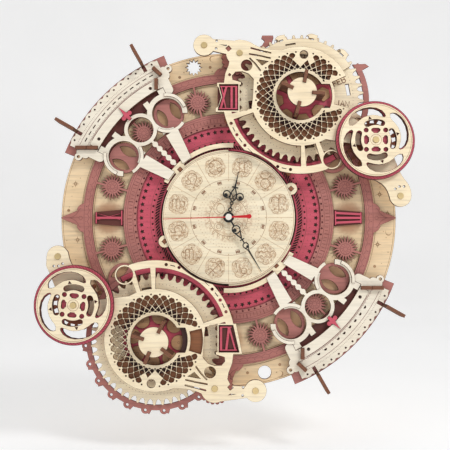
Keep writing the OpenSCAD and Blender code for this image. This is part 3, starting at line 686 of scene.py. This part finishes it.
def hour_ring():
    holes = [circle(pol(94.7, 3.75 * i + 1.1), 0.75, 10) for i in range(96)]
    plate("hour_ring", holes, 0.2)
    marks = engraving("hour_ring_marks", "hour_ring", DARK_LINE)
    for r in (96.8, 102.6, 104.6):
        marks.ring(HUB, r, 0.4, 144)
    for i in range(180):                       # plain ticks all round
        a = 2 * i + 0.6
        marks.line([pol(98.0, a), pol(101.4 if i % 5 else 102.4, a)], 0.55 if i % 5 else 0.9)
    for r in (139.6, 146.2):
        marks.ring(HUB, r, 0.4, 160)
    for i in range(120):                       # zigzag border
        a = 3 * i
        marks.line([pol(141.0, a), pol(142.8, a + 1.5), pol(141.0, a + 3.0)], 0.4)
        marks.dot(pol(144.3, a + 1.5), 0.5, 8)
    for i in range(12):                        # the suns
        c, a = pol(SUN_R, 15 + 30 * i), 15 + 30 * i
        marks.ring(c, 5.4, 0.45, 28)
        marks.ring(c, 2.2, 0.4, 18)
        for k in range(10):
            marks.line([pol(2.9, 36 * k + a, c), pol(4.7, 36 * k + a + 14, c)], 0.4)
    for i in range(4):                         # leaf points at the quarters
        for s in (-1, 1):
            line = bezier((149.2, s * 9.5), (153.0, s * 9.0), (150.5, s * 3.0), (160.5, 0), 8)
            marks.line(turn(line, 90 * i), 0.45)
        marks.line(turn([(151.5, 0), (166.0, 0)], 90 * i), 0.45)
        marks.ring(pol(149.6, 90 * i), 1.7, 0.4, 16)
    marks.done()


def base_board():
    plate("base_board", chamfer=0.3, material=BASE)
    marks = engraving("base_board_marks", "base_board")
    marks.ring(HUB, 168.2, 0.45, 200)
    marks.ring(HUB, 149.6, 0.5, 180)
    marks.ring(HUB, 137.0, 0.4, 160)
    marks.ring(HUB, 107.6, 0.4, 140)
    for spot in ((-156, 34.9), (-153.3, -22.2), (153.9, 24.2), (151.2, -26.8), (-158.6, -2.5), (161.5, 4.5)):
        for k in range(8):                     # compass stars
            a = 45 * k
            tip = 3.8 if k % 2 == 0 else 2.6
            marks.shape([pol(0.9, a - 45, spot), pol(tip, a, spot), pol(0.9, a + 45, spot)])
    for spot in ((-162.8, 7.8), (147.9, -49), (-50.4, 145), (-19, 155.4), (19, -155.6), (51.4, -147.4)):
        marks.dot(spot, 1.5, 16)
    for spot, a in (((-15.5, 163.8), 60), ((162.6, -13.6), 150), ((50.7, -156.2), 240)):
        for k in range(6):                     # crescent moons
            a0, a1 = a + 36 * k, a + 36 * (k + 1)
            p, q = pol(3.3, a0, spot), pol(3.3, a1, spot)
            off = pol(1.3, a + 108, spot)
            marks.shape([p, q, pol(3.0, a1, off), pol(3.0, a0, off)])
    rng = random.Random(4)
    for k in range(90):                        # small stars and dots over the open wood
        a = 4 * k + rng.uniform(-1, 1)
        r = rng.choice((152.5, 157.0, 161.5, 165.4)) + rng.uniform(-1, 1)
        if k % 3:
            marks.dot(pol(r, a), rng.uniform(0.3, 0.55), 8)
        else:
            spot = pol(r, a)
            for b in (0, 90):
                marks.shape(turn([(spot[0] - 1.3, spot[1]), (spot[0], spot[1] - 0.25),
                                  (spot[0] + 1.3, spot[1]), (spot[0], spot[1] + 0.25)], a + b, spot))
    marks.done()


def numerals():
    plate("numeral_plates", chamfer=0.15)
    plate("hour_numerals", chamfer=0.18)


# ---------------------------------------------------------------- clock face

SIGNS = 12
GLYPH_SCALE = 1.4


def glyph(k):
    """Strokes of one of the twelve pictures, about 10 mm high round (0, 0) before it is scaled. They are
    plain symbols of the sky's twelve parts, built from arcs and straight strokes."""
    if k == 0:      # horns
        return [arc((-2.6, 2.4), 2.6, 200, 0, 10) + [(0, -5.5)], arc((2.6, 2.4), 2.6, 180, -20, 10)]
    if k == 1:      # circle and horns
        return [circle((0, -2), 3.4, 20) + [pol(3.4, 0, (0, -2))], arc((0, 5.4), 4.0, 190, 350, 12)]
    if k == 2:      # two pillars
        return [[(-2, -4), (-2, 4)], [(2, -4), (2, 4)],
                arc((0, 9), 6, 230, 310, 8), arc((0, -9), 6, 50, 130, 8)]
    if k == 3:      # two curls
        return [circle((-3, 1.6), 1.5, 14) + [(-1.5, 1.6)], arc((0, 0.4), 4.6, 155, 20, 10),
                circle((3, -1.6), 1.5, 14) + [(4.5, -1.6)], arc((0, -0.4), 4.6, 335, 200, 10)]
    if k == 4:      # loop and tail
        return [circle((-2.6, -1), 1.7, 14) + [(-0.9, -1)],
                arc((0.2, 2.2), 3.2, 215, -10, 12) + [(1.8, -3.2), (3.6, -4.6), (5, -3)]]
    if k == 5:      # three strokes and a loop
        return [[(-4.5, 3), (-4.5, -3.5)], arc((-3.1, 2.2), 1.4, 180, 0, 6) + [(-1.7, -3.5)],
                arc((-0.3, 2.2), 1.4, 180, 0, 6) + [(1.1, -3.5)], arc((2.3, 0), 2.2, 120, -120, 10)]
    if k == 6:      # scales
        return [[(-5, -3.6), (5, -3.6)],
                [(-5, -1.2), (-2, -1.2)] + arc((0, 1.2), 2.8, 230, -50, 14) + [(2, -1.2), (5, -1.2)]]
    if k == 7:      # three strokes and an arrow
        return [[(-4.5, 3), (-4.5, -3.5)], arc((-3.1, 2.2), 1.4, 180, 0, 6) + [(-1.7, -3.5)],
                arc((-0.3, 2.2), 1.4, 180, 0, 6) + [(1.1, -3.5), (3.8, -4.4), (4.8, -2.4)],
                [(3.6, -2.6), (4.9, -2.0), (5.6, -3.4)]]
    if k == 8:      # bow and arrow
        return [[(-4.4, -4.4), (4.4, 4.4)], [(1.4, 4.6), (4.6, 4.6), (4.6, 1.4)],
                arc((-1.4, -1.4), 5.2, 100, -10, 12), [(-3.6, 0), (0, -3.6)]]
    if k == 9:      # hook and loop
        return [[(-4.6, 3.4), (-3, -2.6), (-1.6, 3.2), (-1.4, -3.0)],
                circle((1.4, -2.2), 2.0, 14) + [(3.4, -2.2)], arc((-1, -3.6), 2.6, 10, -80, 8)]
    if k == 10:     # two waves
        return [[(-5 + 2 * i, z + (1.5 if i % 2 else 0)) for i in range(6)] for z in (0.9, -2.4)]
    # two arcs and a bar
    return [arc((-6.2, 0), 4.4, -60, 60, 10), arc((6.2, 0), 4.4, 120, 240, 10), [(-3.6, 0), (3.6, 0)]]


def medallion(marks, faint, k, rng):
    """One of the twelve pictures round the face: a symbol with dots, stars and curls about it."""
    a = 15 + 30 * k
    c = pol(PICTURE_R, a)
    for stroke in glyph(k):
        marks.line(shift([(x * GLYPH_SCALE, z * GLYPH_SCALE) for x, z in stroke], c), 0.7)
    for i in range(4):
        b = a + 45 + 90 * i
        curl = [pol(8.8 + 1.6 * math.sin(t / 2.2), b + 7 * t - 24, c) for t in range(8)]
        marks.line(curl, 0.5)
        faint.line([pol(10.4 - 0.5 * t, b + 18 + 20 * t, c) for t in range(6)], 0.45)
    links = [pol(rng.uniform(6.4, 8.4), a + 72 * i + rng.uniform(-14, 14), c) for i in range(5)]
    faint.line(links, 0.28)
    for p in links:
        marks.dot(p, rng.uniform(0.5, 0.8), 8)
    for i in range(9):
        p = pol(rng.uniform(1.5, 8.4), rng.uniform(0, 360), c)
        faint.dot(p, rng.uniform(0.25, 0.55), 8)


def clock_face():
    plate("dial", chamfer=0.3, material=FACE_WOOD)
    marks = engraving("dial_engraving", "dial")
    faint = engraving("dial_engraving_pale", "dial", ENGRAVED_FAINT)
    for r, w in ((65.2, 0.45), (38.0, 0.4), (19.0, 0.5)):
        marks.ring(HUB, r, w, 120)
    for i in range(12):
        faint.line([pol(39, 30 * i), pol(64.4, 30 * i)], 0.5)
        faint.line([pol(36.4, 30 * i), pol(38.1, 30 * i)], 0.9)
    for i in range(60):
        faint.dot(pol(63.2, 6 * i + 3), 0.42, 8)
        faint.dot(pol(30.3, 6 * i), 0.5, 8)
        faint.dot(pol(27.5, 6 * i + 3), 0.36, 8)
    for i in range(24):                        # rays round the middle
        a = 15 * i
        tip = 24.6 if i % 2 else 22.4
        line = [pol(19.6, a - 3.2), pol(21.6, a - 1.8), pol(tip, a + 0.8), pol(21.2, a + 2.4),
                pol(19.6, a + 3.4)]
        marks.line(line, 0.38)
    numbers = engraving("dial_numbers", "dial", NUMBER_BROWN)
    for i in range(12):                        # small number blocks
        a = 15 + 30 * i
        for b in (a - 2.4, a, a + 2.4):
            numbers.shape([pol(34.3, b - 1.0), pol(36.9, b - 1.0), pol(36.9, b + 1.0), pol(34.3, b + 1.0)])
        numbers.line([pol(33.6, a - 4), pol(33.6, a + 4)], 0.35)
    numbers.done()
    moon = (-9.5, 8.5)                         # a moon, three planets and orbits in the middle
    marks.ring(moon, 5.4, 0.4, 32)
    marks.line(arc((moon[0] + 2.6, moon[1] + 0.6), 5.0, 95, 262, 12), 0.45)
    for spot, r in (((8.6, 9.4), 3.6), ((9.6, -9.0), 4.6), ((-10.2, -9.2), 4.2)):
        marks.ring(spot, r, 0.38, 26)
        marks.ring(spot, r * 0.52, 0.35, 18)
        for k in range(10):
            faint.line([pol(r + 0.6, 36 * k, spot), pol(r + 1.8, 36 * k + 8, spot)], 0.4)
    for k in range(5):
        faint.line(arc((-2 + k, 14.0 - 2.2 * k), 8.0 - k, 20, 120, 8), 0.35)
        faint.line(arc((2 - k, -15.0 + 2.2 * k), 8.0 - k, 200, 300, 8), 0.35)
    rng = random.Random(11)
    for k in range(SIGNS):
        medallion(marks, faint, k, rng)
    for i in range(150):                       # loose dots and specks between the pictures
        r, a = rng.uniform(39.5, 64), rng.uniform(0, 360)
        faint.dot(pol(r, a), rng.uniform(0.22, 0.5), 7)
    marks.done()
    faint.done()
    plate("dial_bracket", chamfer=0.22)
    plate("bracket_tabs", chamfer=0.15)


def hands():
    for node in ("hour_hand", "minute_hand", "second_hand"):
        plate(node, chamfer=0.12)


# ---------------------------------------------------------------- arc brackets

ARC_FOOT_R = 152.8


def arc_brackets():
    # arc_liners is a maroon sheet under the arcs that paints in the deep shade of the gap beneath them
    for node in ("arc_backings", "arc_liners", "arc_fins", "arc_pointers"):
        plate(node)
    for node in ("arc_strips", "arc_rings_ul", "arc_rings_lr", "arc_arms"):
        plate(node, material=PALE_ARC)
    ply_lines("arc_fins")
    for side, axis in ARC_AXES.items():
        node = "arc_plate_" + side
        holes, marks = [], engraving(f"arc_lines_{side}", node, DARK_LINE)
        if side == "ul":                       # thin dashes
            for i in range(-6, 7):
                holes.append(band(HUB, 163.6, 164.3, axis + 2.72 * i - 0.7, axis + 2.72 * i + 0.7, 4))
        else:                                  # half moons
            for i in range(-4, 5):
                c = pol(162.0, axis + 2.9 * i)
                holes.append(turn(shift(arc((0, 0), 1.5, -90, 90, 8), c), axis + 2.9 * i, c))
        for i in range(61):
            marks.dot(pol(170.0, axis - 18 + 0.6 * i), 0.32, 6)
        for r in (159.6, 167.2):
            marks.line(arc(HUB, r, axis - 19, axis + 19, 30), 0.4)
        for i in range(31):
            marks.dot(pol(160.6, axis - 18 + 1.2 * i), 0.3, 6)
        dots = engraving(f"arc_dots_{side}", node, CHARRED)
        for s in (-1, 1):
            dots.dot(pol(ARC_FOOT_R, axis + 13.8 * s), 1.4, 16)
        dots.done()
        slit = [pol(ARC_FOOT_R, axis - 16.6), pol(156.6, axis - 16.3)]
        slit += arc(HUB, 158.6, axis - 15.4, axis + 15.4, 30)
        slit += [pol(156.6, axis + 16.3), pol(ARC_FOOT_R, axis + 16.6)]
        marks.line(slit, 0.55)
        plate(node, holes, material=PALE_ARC)
        marks.done()


# ---------------------------------------------------------------- calendar wheels and frames


LATTICE_CELLS = 32
# Rows of openings: low, widest and high radius, half width, in step with the first row, share of blunt top
LATTICE_ROWS = ((27.2, 27.9, 28.6, 1.5, True, 0.0), (27.7, 29.4, 32.3, 2.3, False, 0.0),
                (30.1, 33.1, 36.7, 2.65, True, 0.0), (33.8, 37.6, 41.2, 3.0, False, 0.15),
                (38.5, 41.6, 44.0, 2.9, True, 0.4))


def lattice(c, loops):
    """Diamond openings in rows that shrink towards the window, every other row half a cell round."""
    holes = []
    for low, wide, high, half, in_step, blunt in LATTICE_ROWS:
        for i in range(LATTICE_CELLS):
            a = (i + (0 if in_step else 0.5)) * 360 / LATTICE_CELLS
            w, top = math.degrees(half / wide), math.degrees(half * blunt / high)
            drop, rise = (wide - low) * 0.25 * (blunt > 0), (high - wide) * 0.3 * (blunt > 0)
            right = [pol(low, a + 0.25 * top, c), pol(wide - drop, a + w, c), pol(wide + rise, a + w, c),
                     pol(high, a + top + 0.15, c)]
            left = [pol(high, a - top - 0.15, c), pol(wide + rise, a - w, c), pol(wide - drop, a - w, c),
                    pol(low, a - 0.25 * top - 0.15, c)]
            sharp = [pol(low, a, c), pol(wide, a + w, c), pol(high, a, c), pol(wide, a - w, c)]
            cell = right + left if blunt else sharp
            if fits(loops, cell, 0.4):
                holes.append(cell)
    return holes


def calendar_frame(side):
    c, spin = SIDES[side]
    node = side + "_frame"
    loops = [loop for _, _, found in outlines(node) for loop in found]
    # the frame's round hole: the wood about it stays solid, and the painted-shade sheet behind leaves it open
    eyelet = pol(42, 85 + spin, c)
    pad = circle(eyelet, 6.4, 20)
    holes = [h for h in lattice(c, loops) if not any(inside([pad], p) for p in h)]
    step = 360 / LATTICE_CELLS
    dots = [circle(pol(44.6, step * (i + 0.5), c), 0.7, 10) for i in range(LATTICE_CELLS)]
    holes += [d for d in dots if not any(inside([pad], p) for p in d)]
    plate(node, holes, 0.2)
    bm = bmesh.new()                           # brown sheet behind the openings, clear of the window: painted shade for the deep gap behind the lattice
    sheet = arc(c, 46.6, 30 + spin, 340 + spin, 80) + arc(c, 26.4, 340 + spin, 30 + spin, 80)
    add_plate(bm, 37.95, 37.1, [sheet, circle(eyelet, 4.6, 24)], 0.1)
    # painted shade: the sheet is brown, and nearly black from 20 to 33 mm about the wheel's centre, next to
    # the window
    back = marked_wood(side + "_shade_sheet_wood", srgb(146, 92, 56), 20, 30,
                       zones=((20, 33, 0.6, 0.95, srgb(58, 24, 22), 0),), centre=c)
    object_from(bm, side + "_frame_shade_sheet", [back, EDGE], BODY_OF[node])
    marks = engraving(side + "_frame_lines", node, CHARRED)
    for a in (201.8, 211.6, 252):
        marks.line(arc(c, 74.4, a + spin + 3.2, a + spin + 6.8, 5), 0.9)
    marks.line(arc(c, 74.4, 225 + spin, 249 + spin, 16), 0.5)
    marks.done()


MONTHS = ("JAN", "FEB", "MAR", "APR", "MAY", "JUN", "JUL", "AUG", "SEP", "OCT", "NOV", "DEC")
LETTERS = {                                    # strokes in a box 4 wide and 6 high
    "A": [[(0, 0), (2, 6), (4, 0)], [(0.8, 2.2), (3.2, 2.2)]],
    "B": [[(0, 0), (0, 6), (3, 6), (3.6, 4.6), (3, 3.2), (0, 3.2)], [(3, 3.2), (4, 1.6), (3, 0), (0, 0)]],
    "C": [[(4, 5), (2.6, 6), (1, 5.4), (0, 3), (1, 0.6), (2.6, 0), (4, 1)]],
    "D": [[(0, 0), (0, 6), (2.4, 6), (4, 4), (4, 2), (2.4, 0), (0, 0)]],
    "E": [[(4, 6), (0, 6), (0, 0), (4, 0)], [(0, 3.1), (3, 3.1)]],
    "F": [[(4, 6), (0, 6), (0, 0)], [(0, 3.1), (3, 3.1)]],
    "G": [[(4, 5), (2.6, 6), (1, 5.4), (0, 3), (1, 0.6), (2.6, 0), (4, 1), (4, 2.8), (2.4, 2.8)]],
    "J": [[(3, 6), (3, 1.4), (2, 0), (0.8, 0.2), (0.2, 1.4)]],
    "L": [[(0, 6), (0, 0), (3.8, 0)]],
    "M": [[(0, 0), (0, 6), (2, 2.4), (4, 6), (4, 0)]],
    "N": [[(0, 0), (0, 6), (4, 0), (4, 6)]],
    "O": [[(1.2, 0), (0, 2), (0, 4), (1.2, 6), (2.8, 6), (4, 4), (4, 2), (2.8, 0), (1.2, 0)]],
    "P": [[(0, 0), (0, 6), (3, 6), (4, 4.6), (3, 3), (0, 3)]],
    "R": [[(0, 0), (0, 6), (3, 6), (4, 4.6), (3, 3), (0, 3)], [(2, 3), (4, 0)]],
    "S": [[(4, 5), (2.6, 6), (0.8, 5.6), (0.4, 4.2), (3.4, 2.4), (3.6, 0.8), (2, 0), (0, 0.8)]],
    "T": [[(0, 6), (4, 6)], [(2, 6), (2, 0)]],
    "U": [[(0, 6), (0, 1.6), (1.2, 0), (2.8, 0), (4, 1.6), (4, 6)]],
    "V": [[(0, 6), (2, 0), (4, 6)]],
    "Y": [[(0, 6), (2, 3), (4, 6)], [(2, 3), (2, 0)]],
}
LABEL_R = 43.7        # middle of a label
LABEL_TURN = -7.0     # degrees: where the first label stands
LETTER_PITCH = 4.7
LETTER_SCALE = 0.95
LETTER_MIDDLE = (2, 2.9)


def gear_labels(marks, c, spin):
    """The twelve months, each read along its own radius."""
    for k, name in enumerate(MONTHS):
        a = LABEL_TURN + 30 * k + spin
        for i, letter in enumerate(name):
            for stroke in LETTERS[letter]:
                line = [(LABEL_R + LETTER_PITCH * (i - 1) + x * LETTER_SCALE - LETTER_MIDDLE[0],
                         z * LETTER_SCALE - LETTER_MIDDLE[1]) for x, z in stroke]
                marks.line(shift(turn(line, a), c), 1.0)


def calendar_wheel(side):
    c, spin = SIDES[side]
    for part in ("gear", "disc", "hub", "fins"):
        plate(f"{side}_{part}")
    plate(side + "_plates", material=TAN)
    ply_lines(side + "_fins")
    marks = engraving(side + "_gear_marks", side + "_gear", NUMBER_BROWN)
    for i in range(96):
        marks.dot(pol(54.2, 3.75 * i + 1, c), 0.35, 7)
    if side == "month":
        gear_labels(marks, c, spin)
    else:
        for k in range(24):                    # ovals and dots
            a = LABEL_TURN + 15 * k + spin
            spot = pol(42.0 + (1.8 if k % 2 else -1.8), a, c)
            marks.line([(spot[0] + 2.1 * math.cos(t * math.pi / 8), spot[1] + 1.3 * math.sin(t * math.pi / 8))
                        for t in range(16)], 0.5, closed=True)
            marks.dot(pol(38.2, a + 5, c), 0.7, 8)
    for i in range(8):
        marks.ring(pol(23.4, 45 * i + 8 + spin, c), 1.0, 0.4, 12)
    marks.done()
    lines = engraving(side + "_plate_marks", side + "_plates", NUMBER_BROWN)
    for _, _, loops in outlines(side + "_plates"):
        loop = max(loops, key=lambda one: abs(area(one)))
        middle = (sum(p[0] for p in loop) / len(loop), sum(p[1] for p in loop) / len(loop))
        if fits([loop], circle(middle, 1.4, 12), 0.2):
            lines.ring(middle, 1.1, 0.45, 12)
    lines.done()


def hook_rings():
    for node in ("gear_arcs", "month_hook_ring", "zodiac_hook_ring", "month_claws"):
        plate(node)


# ---------------------------------------------------------------- knob wheels


def knob_wheel(side, c):
    plate(side + "_knob", chamfer=0.24)
    plate(side + "_knob_rim", chamfer=0.5)
    marks = engraving(side + "_rope_edge", side + "_knob_rim", ROPE_LINE)
    for i in range(72):                        # grooves of the rope
        a = 5 * i
        marks.line([pol(36.4, a, c), pol(37.5, a + 1.9, c), pol(38.3, a + 4.2, c)], 0.5)
    marks.done()
    lines = engraving(side + "_knob_lines", side + "_knob")
    lines.ring(c, 34.6, 0.4, 90)
    lines.ring(c, 5.4, 0.4, 30)
    lines.done()


# ---------------------------------------------------------------- hardware that keeps its CAD shape


def hardware():
    """Gives its material to every CAD node that no sheet stands for."""
    for name, node in frame["nodes"].items():
        if "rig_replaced" in node or node.hide_render:
            continue
        for s in node.material_slots:
            s.material = PALE_CAP if name == "second_shaft" else MATERIALS[SLOT_OF[name]]


# ---------------------------------------------------------------- stage, light and camera


def stage():
    """A pale floor that curves up into a wall, far enough behind the clock for a view of its back."""
    floor_z, wall_y, top_z, reach, curve_r, steps = -0.235, 2.0, 3.6, 4.0, 0.8, 12
    profile = [(-reach, floor_z), (wall_y - curve_r, floor_z)]
    for t in range(1, steps + 1):
        a = t * math.pi / (2 * steps)
        profile.append((wall_y - curve_r + curve_r * math.sin(a), floor_z + curve_r * (1 - math.cos(a))))
    profile.append((wall_y, top_z))
    bm = bmesh.new()
    rows = [[bm.verts.new((x, y, z)) for y, z in profile] for x in (-reach, reach)]
    for i in range(len(profile) - 1):
        bm.faces.new((rows[0][i], rows[1][i], rows[1][i + 1], rows[0][i + 1]))
    mesh = bpy.data.meshes.new("backdrop")
    bm.to_mesh(mesh)
    bm.free()
    for face in mesh.polygons:
        face.use_smooth = True
    m = Nodes("backdrop_paper")
    paper = m.noise(3.0, detail=2.0)
    colour = m.ramp(paper, (0.3, (0.93, 0.93, 0.93, 1)), (0.7, (0.96, 0.96, 0.96, 1)))
    m.link(colour, m.bsdf.inputs["Emission Color"])
    m.bsdf.inputs["Emission Strength"].default_value = 0.2
    mesh.materials.append(m.finish(colour, 0.95, None))
    backdrop = bpy.data.objects.new("backdrop", mesh)
    bpy.context.scene.collection.objects.link(backdrop)


def area_light(name, place, size, power):
    """A round lamp that faces the clock's middle."""
    data = bpy.data.lights.new(name, "AREA")
    data.shape, data.size, data.energy = "DISK", size, power
    lamp = bpy.data.objects.new(name, data)
    lamp.location = place
    lamp.rotation_euler = (Vector() - Vector(place)).to_track_quat("-Z", "Y").to_euler()
    bpy.context.scene.collection.objects.link(lamp)


def lights():
    area_light("key", (0.75, -1.15, 1.0), 0.45, 10)
    area_light("fill", (-1.3, -1.2, 0.35), 1.2, 2)
    area_light("top", (0.0, -0.35, 1.5), 0.9, 2)
    world = bpy.data.worlds.new("studio")
    world.use_nodes = True
    world.node_tree.nodes["Background"].inputs["Color"].default_value = (1, 1, 1, 1)
    world.node_tree.nodes["Background"].inputs["Strength"].default_value = 0.5
    bpy.context.scene.world = world
    bpy.context.scene.view_settings.view_transform = "Standard"


def camera():
    """Stands 0.7 m from the face, a little below its middle, and looks up along its own 3.3 degree slope."""
    distance, slope, width, sensor = 0.7, math.radians(3.3), 0.45, 36.0
    face_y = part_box("dial")[0].y
    data = bpy.data.cameras.new("camera")
    data.sensor_width = sensor
    data.lens = sensor * distance / width
    data.shift_x, data.shift_y = -0.008, -0.0169
    data.clip_start, data.clip_end = 0.05, 20
    cam = bpy.data.objects.new("camera", data)
    cam.location = (0, face_y - distance * math.cos(slope), -distance * math.sin(slope))
    cam.rotation_euler = (math.pi / 2 + slope, 0, 0)
    bpy.context.scene.collection.objects.link(cam)
    bpy.context.scene.camera = cam


camera()
stage()
lights()
base_board()
magenta_ring()
hour_ring()
numerals()
clock_face()
hands()
arc_brackets()
for side in SIDES:
    calendar_frame(side)
    calendar_wheel(side)
hook_rings()
knob_wheel("month", MONTH_KNOB)
knob_wheel("zodiac", ZODIAC_KNOB)
hardware()
